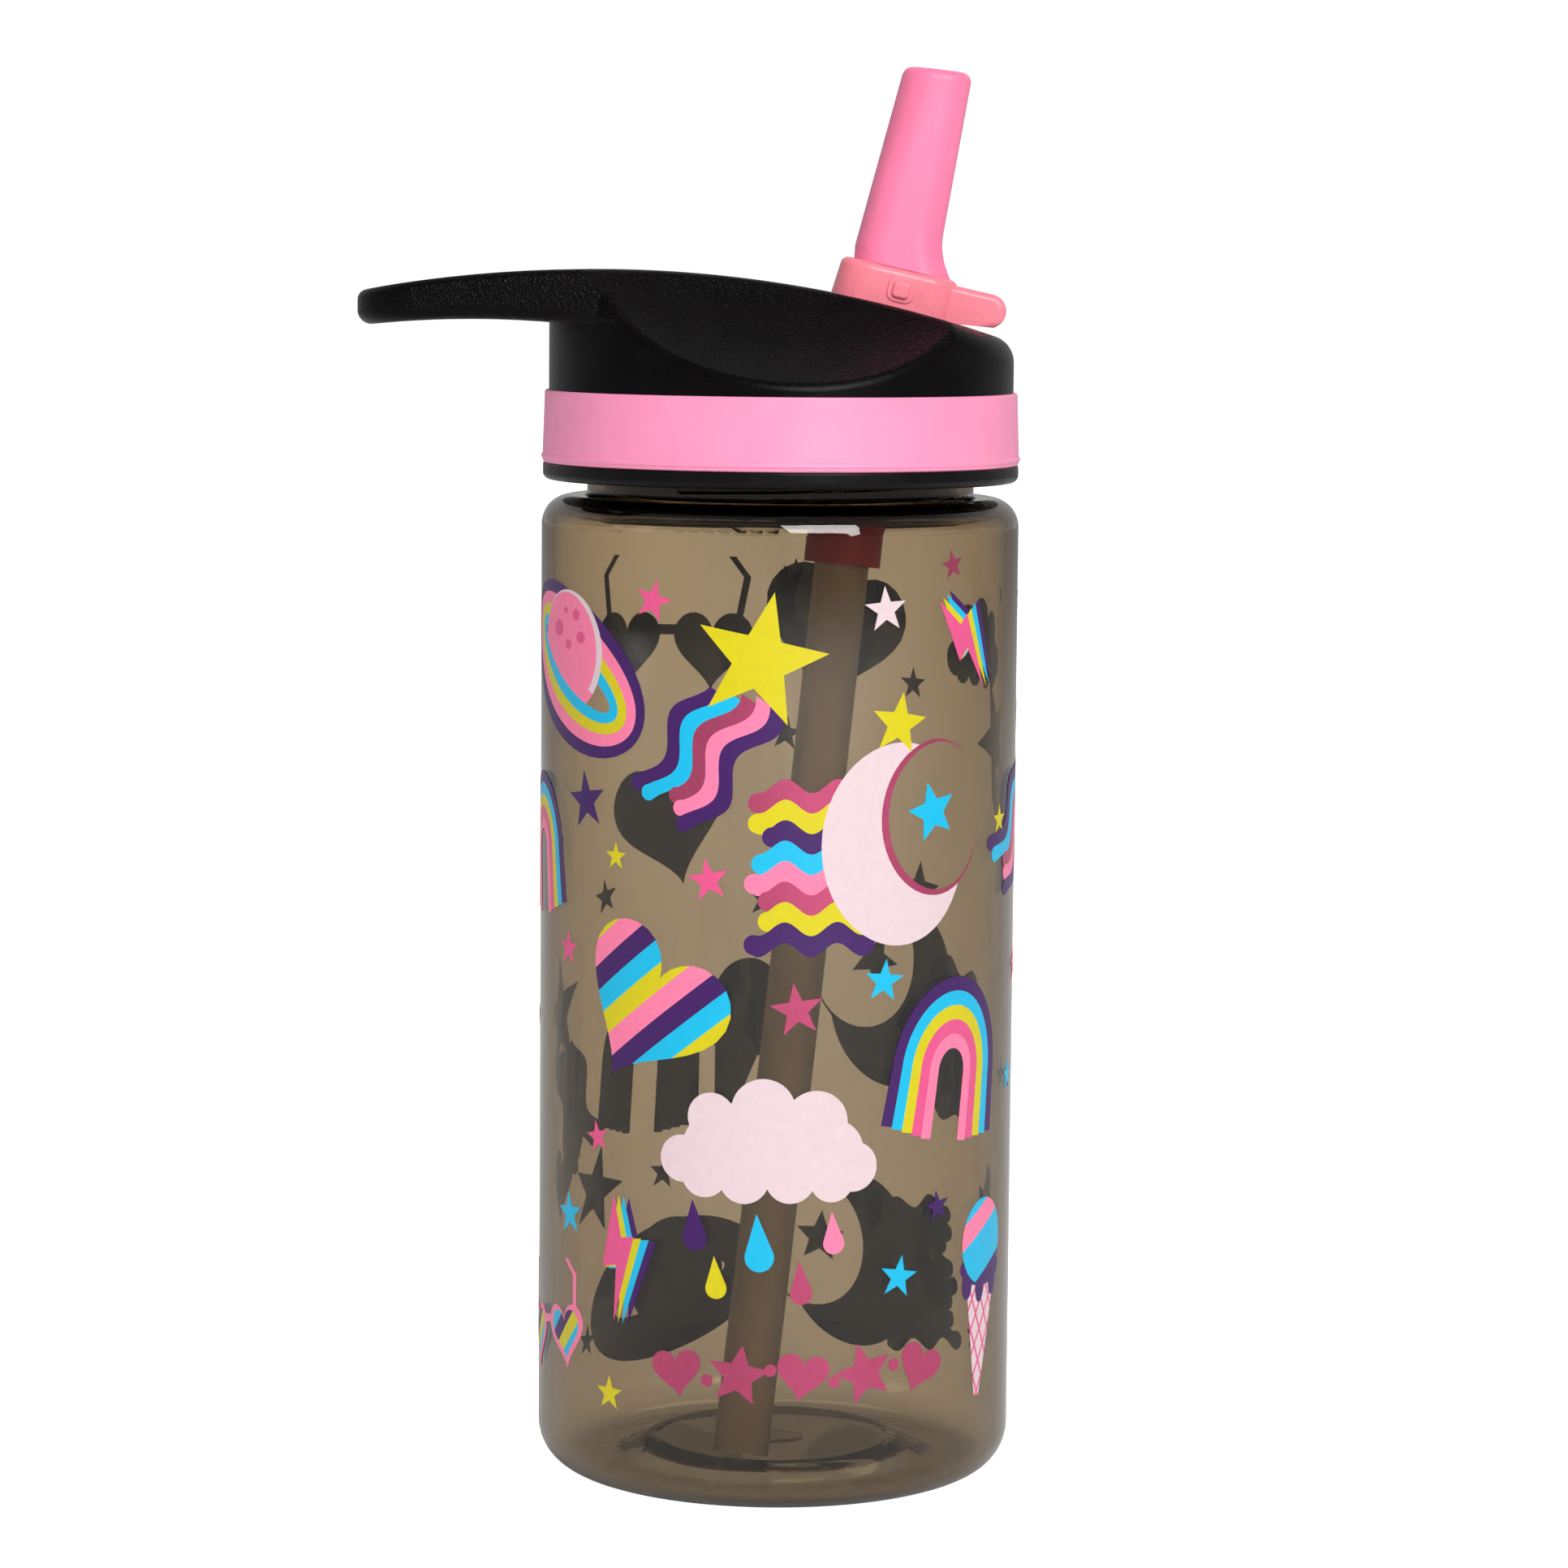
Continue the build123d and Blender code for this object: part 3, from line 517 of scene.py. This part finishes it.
def glasses(width=24.0):
    """Glasses with heart-shaped frames, drawn 24 wide and then scaled."""
    w = width / 24
    shapes = []
    for side in (-1, 1):
        shapes.append(("pink", along(
            [(side * 9.5 * w, 3.0 * w), (side * 10.4 * w, 8.2 * w), (side * 8.4 * w, 10.6 * w)],
            (1, 0), -0.45 * w, 0.45 * w)))
        shapes.append(("pink", heart_points((side * 6.2 * w, 0), 10.4 * w)))
        lens = heart_points((side * 6.2 * w, 0.1 * w), 8.0 * w)
        shapes.append(("cyan", lens))
        for low, colour in ((-1.6, "yellow"), (0.4, "purple")):
            strip = turned([(-9, low), (9, low), (9, low + 2), (-9, low + 2)], 40,
                           (side * 6.2 * w, 0))
            shapes.append((colour, strip, lens))
    bridge = ((-1.6, 1.2), (1.6, 1.2), (1.6, 2.4), (-1.6, 2.4))
    shapes.append(("pink", [(x * w, y * w) for x, y in bridge]))
    return shapes


def row_of_shapes():
    """A plain row of hearts, stars and dots."""
    shapes = []
    for k in range(9):
        x = (k - 4) * 4.6
        if k % 4 == 0:
            shapes.append(("foil", heart_points((x, 0.3), 7.6, 8 - 4 * k)))
        elif k % 2:
            shapes.append(("foil", ellipse((x, 0.9 * (k % 4 - 2)), 0.9, 0.9, count=20)))
        else:
            shapes.append(("foil", star_points((x, 0), 4.6, 6 * k - 20, 0.46)))
    return shapes


def single(colour, points):
    """A motif of one shape."""
    return [(colour, points)]


# ---------------------------------------------------------------- printing
def inside(point, polygon):
    """Whether a ray from the point crosses the outline an odd number of times."""
    x, y = point
    hit = False
    for (x0, y0), (x1, y1) in zip(polygon, polygon[1:] + polygon[:1]):
        if (y0 > y) != (y1 > y) and x < (x1 - x0) * (y - y0) / (y1 - y0) + x0:
            hit = not hit
    return hit


def print_motif(name, place, shapes, turn=0.0):
    """Cuts the shapes into one flat drawing, the last on top, and wraps it as a thin film."""
    direction, height = place
    shapes = [(colour, turned(points, turn), *[turned(p, turn) for p in clip])
              for colour, points, *clip in shapes]
    points, outlines, seen = [], [], {}
    for colour, outline, *clip in shapes:
        for polygon in (outline, *clip):
            face = []
            for x, y in polygon:
                key = (round(x, 3), round(y, 3))
                if key not in seen:
                    seen[key] = len(points)
                    points.append(Vector(key))
                if not face or face[-1] != seen[key]:
                    face.append(seen[key])
            outlines.append(face)
    xs = [p.x for p in points]
    ys = [p.y for p in points]
    edges = []
    columns = range(int(min(xs) // GRID), int(max(xs) // GRID) + 2)
    for k in columns:       # strips that let the drawing bend round the barrel
        low, high = len(points), len(points) + 1
        points += [Vector((k * GRID + GRID_SHIFT, min(ys) - 1)),
                   Vector((k * GRID + GRID_SHIFT, max(ys) + 1))]
        edges.append((low, high))
    flat, _, faces, _, _, _ = delaunay_2d_cdt(points, edges, outlines, 0, 1e-5)

    chosen = []
    for face in faces:
        middle = sum((flat[i] for i in face), Vector((0, 0))) / len(face)
        for colour, outline, *clip in reversed(shapes):
            if inside(middle, outline) and all(inside(middle, c) for c in clip):
                if colour is not None:
                    chosen.append((face, colour))
                break

    used = sorted({i for face, _ in chosen for i in face})
    index = {i: k for k, i in enumerate(used)}
    centre = math.radians(direction) * BARREL_R
    outer_r, inner_r = BARREL_R + INK_GAP + INK_THICK, BARREL_R + INK_GAP
    vertices = []
    for r in (outer_r, inner_r):
        for i in used:
            angle = (flat[i].x + centre) / BARREL_R
            vertices.append((r * MM * math.sin(angle), -r * MM * math.cos(angle),
                             (flat[i].y + height) * MM))
    total = len(used)
    mesh_faces, slots, borders = [], [], {}
    for face, colour in chosen:
        ring = [index[i] for i in face]
        mesh_faces.append(ring)
        slots.append(INK_ORDER.index(colour))
        mesh_faces.append([i + total for i in reversed(ring)])
        slots.append(INK_ORDER.index("back"))
        for a, b in zip(ring, ring[1:] + ring[:1]):
            if (b, a) in borders:
                del borders[b, a]
            else:
                borders[a, b] = INK_ORDER.index(colour)
    for (a, b), slot in borders.items():
        mesh_faces.append([b, a, a + total, b + total])
        slots.append(slot)

    mesh = bpy.data.meshes.new(name)
    mesh.from_pydata(vertices, [], mesh_faces)
    in_use = sorted(set(slots))
    for slot in in_use:
        mesh.materials.append(INKS[INK_ORDER[slot]])
    mesh.polygons.foreach_set("material_index", [in_use.index(s) for s in slots])
    mesh.validate()
    piece = bpy.data.objects.new(name, mesh)
    scene.collection.objects.link(piece)
    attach(piece, "bottle")


print_motif("print_comet", (-4.4, 122.7), comet())
print_motif("print_moon", (25, 99), moon())
print_motif("print_planet", (-60, 122.5), planet())
print_motif("print_heart", (-31.5, 73.5),
            striped_heart(24.5, -30, ["purple", "pink", "yellow", "cyan"], 38, 2.97))
print_motif("print_rainbow", (46.2, 63), rainbow(22.0, 8.5), -8)
print_motif("print_cloud", (-1.2, 54.5), cloud())
for k, (direction, height, size, colour) in enumerate((
        (-19, 42, 7.4, "purple"), (-3.6, 39.8, 8.4, "cyan"), (13.9, 41.2, 6.2, "pink"),
        (-13.7, 34.6, 6.2, "yellow"), (6.3, 34.1, 6.4, "foil"))):
    print_motif(f"print_drop_{k + 1}", (direction, height),
                single(colour, drop_points((0, 0), size, 4)))
print_motif("print_bolt_1", (50, 124.6), bolt(16.5), 40)
print_motif("print_bolt_2", (-39.5, 35.5), bolt(18.5), 2)
print_motif("print_cone", (59.5, 30.2), cone(), -4)
print_motif("print_glasses_1", (-70, 22), glasses(), 10)
print_motif("print_rainbow_2", (-77, 93), rainbow(18.0, 8), 6)
print_motif("print_row", (7, 20.5), row_of_shapes())

# the far side
print_motif("print_glasses_2", (-149, 120), glasses(31), 2)
print_motif("print_heart_2", (165, 122.5),
            striped_heart(24.0, 12, ["cyan", "purple", "pink", "yellow"], -30))
print_motif("print_heart_3", (-150, 94),
            striped_heart(22.0, -14, ["yellow", "cyan", "pink", "purple"], 28))
print_motif("print_cloud_2", (113, 122), cloud(0.65, 0.75))
print_motif("print_moon_2", (140, 68), moon(), 12)
print_motif("print_rainbow_3", (-143, 55), rainbow(20.0, 9), 4)
print_motif("print_comet_2", (-99, 66), comet(), 6)
print_motif("print_planet_2", (-152, 22), planet(), 14)
print_motif("print_cone_2", (-170, 58), cone(), 12)
print_motif("print_moon_3", (154, 27), grown(moon(), 0.95), -10)
print_motif("print_comet_3", (98, 108), comet(), -14)
print_motif("print_bolt_3", (100, 36), bolt(16), 10)
print_motif("print_heart_4", (-101, 41),
            striped_heart(12.0, 10, ["pink", "yellow", "purple", "cyan"], 25))

STARS = (       # direction, height, radius, colour, angle
    (25.4, 129.8, 3.4, "pale", 4), (-30.6, 130.7, 3.1, "deep", -14), (44.5, 135.8, 2.2, "foil", 10),
    (-51.5, 101.4, 4.3, "purple", 8), (-41, 93.9, 2.0, "yellow", 0), (-16, 91.5, 3.2, "deep", 10),
    (4.9, 73.2, 4.0, "foil", 8), (26, 77, 3.2, "cyan", -6), (-59, 79.5, 2.6, "deep", 0),
    (-46.7, 53, 2.4, "deep", 12), (-58, 40.7, 3.2, "cyan", 6), (30.7, 34.1, 3.2, "cyan", -10),
    (-42.3, 15.8, 2.6, "yellow", 0), (42, 43.6, 2.4, "purple", 8), (66.5, 98.3, 2.2, "yellow", 0),
    (178, 106, 2.8, "pink", 6), (142, 114.5, 2.6, "cyan", 0), (-177, 80, 3.0, "cyan", 12),
    (171, 44, 2.6, "yellow", 0), (-149, 38, 2.8, "deep", 8), (133, 18, 2.6, "purple", 4),
    (-128, 82, 2.8, "yellow", -8), (-124, 37, 7.0, "yellow", 14), (176, 131, 2.2, "yellow", 6),
    (-122, 106, 3.0, "cyan", 0), (-100, 120, 3.2, "deep", 10), (-98, 92, 2.4, "yellow", 0),
    (84, 76, 2.8, "pink", 8), (76, 60, 2.4, "cyan", 0), (112, 16, 2.6, "deep", 4),
    (-120, 14, 2.6, "cyan", 8), (92, 130, 2.4, "yellow", 0),
)
for k, (direction, height, radius, colour, angle) in enumerate(STARS):
    print_motif(f"print_star_{k + 1}", (direction, height),
                single(colour, star_points((0, 0), radius, angle, 0.40)))

# ---------------------------------------------------------------- floor, world and lights
# The floor and backdrop are brighter for light that reaches the camera straight or through
# clear plastic than for light that falls on the other pieces. These are staging values.
FLOOR_HALF = 6.0
FLOOR_GLOW = 0.1                # floor, as other surfaces receive it
WHITE = 1.06                    # floor and backdrop, as the camera sees them
# painted light: seen through the clear plastic, the floor and backdrop glow brighter at the left and
# right than in the middle
THROUGH = (1.3, 1.02, 1.12)     # the same through clear plastic, at the left, middle and right
SIDE = 0.05                     # sine of the direction at which left and right are reached
# painted shadow: the floor seen through the clear plastic is darker under and near the bottle
UNDER_SHADE = (0.8, 1.15)             # share of THROUGH on the floor, under and beside the bottle
UNDER_SHADE_R = (0.026, 0.060)        # the distances from its axis for these shares
NEAR_SHADE = (0.62, 1.0)              # a further share, near the bottle and far away
NEAR_SHADE_R = (0.6, 2.0)
MIRRORED = 0.35                 # share of THROUGH left after a reflection
ROOM_LIGHT = (0.15, 0.21)       # backdrop for all other light, at the level and overhead
ROOM_BACK = 0.42                # and on the side away from the camera

floor_mesh = bpy.data.meshes.new("floor")
floor_mesh.from_pydata([(-FLOOR_HALF, -FLOOR_HALF, 0), (FLOOR_HALF, -FLOOR_HALF, 0),
                        (FLOOR_HALF, FLOOR_HALF, 0), (-FLOOR_HALF, FLOOR_HALF, 0)],
                       [], [(0, 1, 2, 3)])
floor = bpy.data.objects.new("floor", floor_mesh)
scene.collection.objects.link(floor)
floor_material, floor_shader = new_material("floor_white")
set_values(floor_shader, Base_Color=(0.6, 0.6, 0.6, 1), Roughness=0.8, Specular_IOR_Level=0.1,
           Emission_Color=(1, 1, 1, 1))
floor_mesh.materials.append(floor_material)


def seen(tree, vector, through_share=1.0):
    """Brightness where the camera sees it, straight or through clear plastic; 0 elsewhere."""
    path = add_node(tree, "ShaderNodeLightPath")
    split = add_node(tree, "ShaderNodeSeparateXYZ")
    tree.links.new(vector, split.inputs["Vector"])
    left, middle, right = THROUGH
    # painted light: brighter at the left and right, for light through the clear plastic only
    sideways = math_node(tree, "MAXIMUM",
                         spread(tree, split.outputs["X"], left, middle, -SIDE, 0),
                         spread(tree, split.outputs["X"], middle, right, 0, SIDE))
    clear = math_node(tree, "MULTIPLY", path.outputs["Is Transmission Ray"],
                      math_node(tree, "LESS_THAN", path.outputs["Diffuse Depth"], 0.5))
    clear = math_node(tree, "MULTIPLY", clear,
                      spread(tree, path.outputs["Glossy Depth"], 1, MIRRORED, 0, 1))
    through = math_node(tree, "MULTIPLY", clear,
                        math_node(tree, "MULTIPLY", sideways, through_share))
    straight = math_node(tree, "MULTIPLY", path.outputs["Is Camera Ray"], WHITE)
    return math_node(tree, "MAXIMUM", straight, through)


floor_tree = floor_material.node_tree
floor_point = object_point(floor_tree)
from_camera = add_node(floor_tree, "ShaderNodeVectorMath", operation="ADD")
floor_tree.links.new(floor_point, from_camera.inputs[0])
from_camera.inputs[1].default_value = (0, CAMERA_DISTANCE, -CAMERA_HEIGHT)
floor_way = add_node(floor_tree, "ShaderNodeVectorMath", operation="NORMALIZE")
floor_tree.links.new(from_camera.outputs["Vector"], floor_way.inputs[0])
floor_r = add_node(floor_tree, "ShaderNodeVectorMath", operation="LENGTH")
floor_tree.links.new(floor_point, floor_r.inputs[0])
# painted shadow on the floor under and near the bottle, seen through the clear plastic
floor_tree.links.new(
    math_node(floor_tree, "MAXIMUM",
              seen(floor_tree, floor_way.outputs["Vector"], math_node(
                  floor_tree, "MULTIPLY",
                  spread(floor_tree, floor_r.outputs["Value"], *UNDER_SHADE, *UNDER_SHADE_R),
                  spread(floor_tree, floor_r.outputs["Value"], *NEAR_SHADE, *NEAR_SHADE_R))),
              FLOOR_GLOW),
    floor_shader.inputs["Emission Strength"])

world = bpy.data.worlds.new("studio")
scene.world = world
world.use_nodes = True
sky = world.node_tree
way = add_node(sky, "ShaderNodeTexCoord").outputs["Generated"]
sky_parts = add_node(sky, "ShaderNodeSeparateXYZ")
sky.links.new(way, sky_parts.inputs["Vector"])
room = math_node(sky, "MAXIMUM", spread(sky, sky_parts.outputs["Z"], *ROOM_LIGHT, 0.1, 0.9),
                 spread(sky, sky_parts.outputs["Y"], 0, ROOM_BACK, 0.0, 0.5))
background = sky.nodes["Background"]
background.inputs["Color"].default_value = (1, 1, 1, 1)
sky.links.new(math_node(sky, "MAXIMUM", room, seen(sky, way)), background.inputs["Strength"])


def softbox(name, place, target, size, watts, mirrored):
    """A rectangular light; one that is not mirrored leaves no highlight."""
    data = bpy.data.lights.new(name, "AREA")
    data.shape = "RECTANGLE"
    data.size, data.size_y = size
    data.energy = watts
    light = bpy.data.objects.new(name, data)
    light.location = place
    aim = Vector(target) - Vector(place)
    light.rotation_euler = aim.to_track_quat("-Z", "Y").to_euler()
    light.visible_glossy = mirrored
    scene.collection.objects.link(light)


softbox("key", (0.57, -1.45, 0.96), (0, 0, 0.14), (1.05, 0.95), 31.0, mirrored=True)
softbox("fill", (-1.5, -0.5, 0.55), (0, 0, 0.12), (0.35, 0.9), 6.0, mirrored=False)
softbox("rim", (0.2, 0.9, 1.2), (0, 0, 0.12), (1.0, 0.5), 8.0, mirrored=False)

scene.view_settings.view_transform = "Standard"
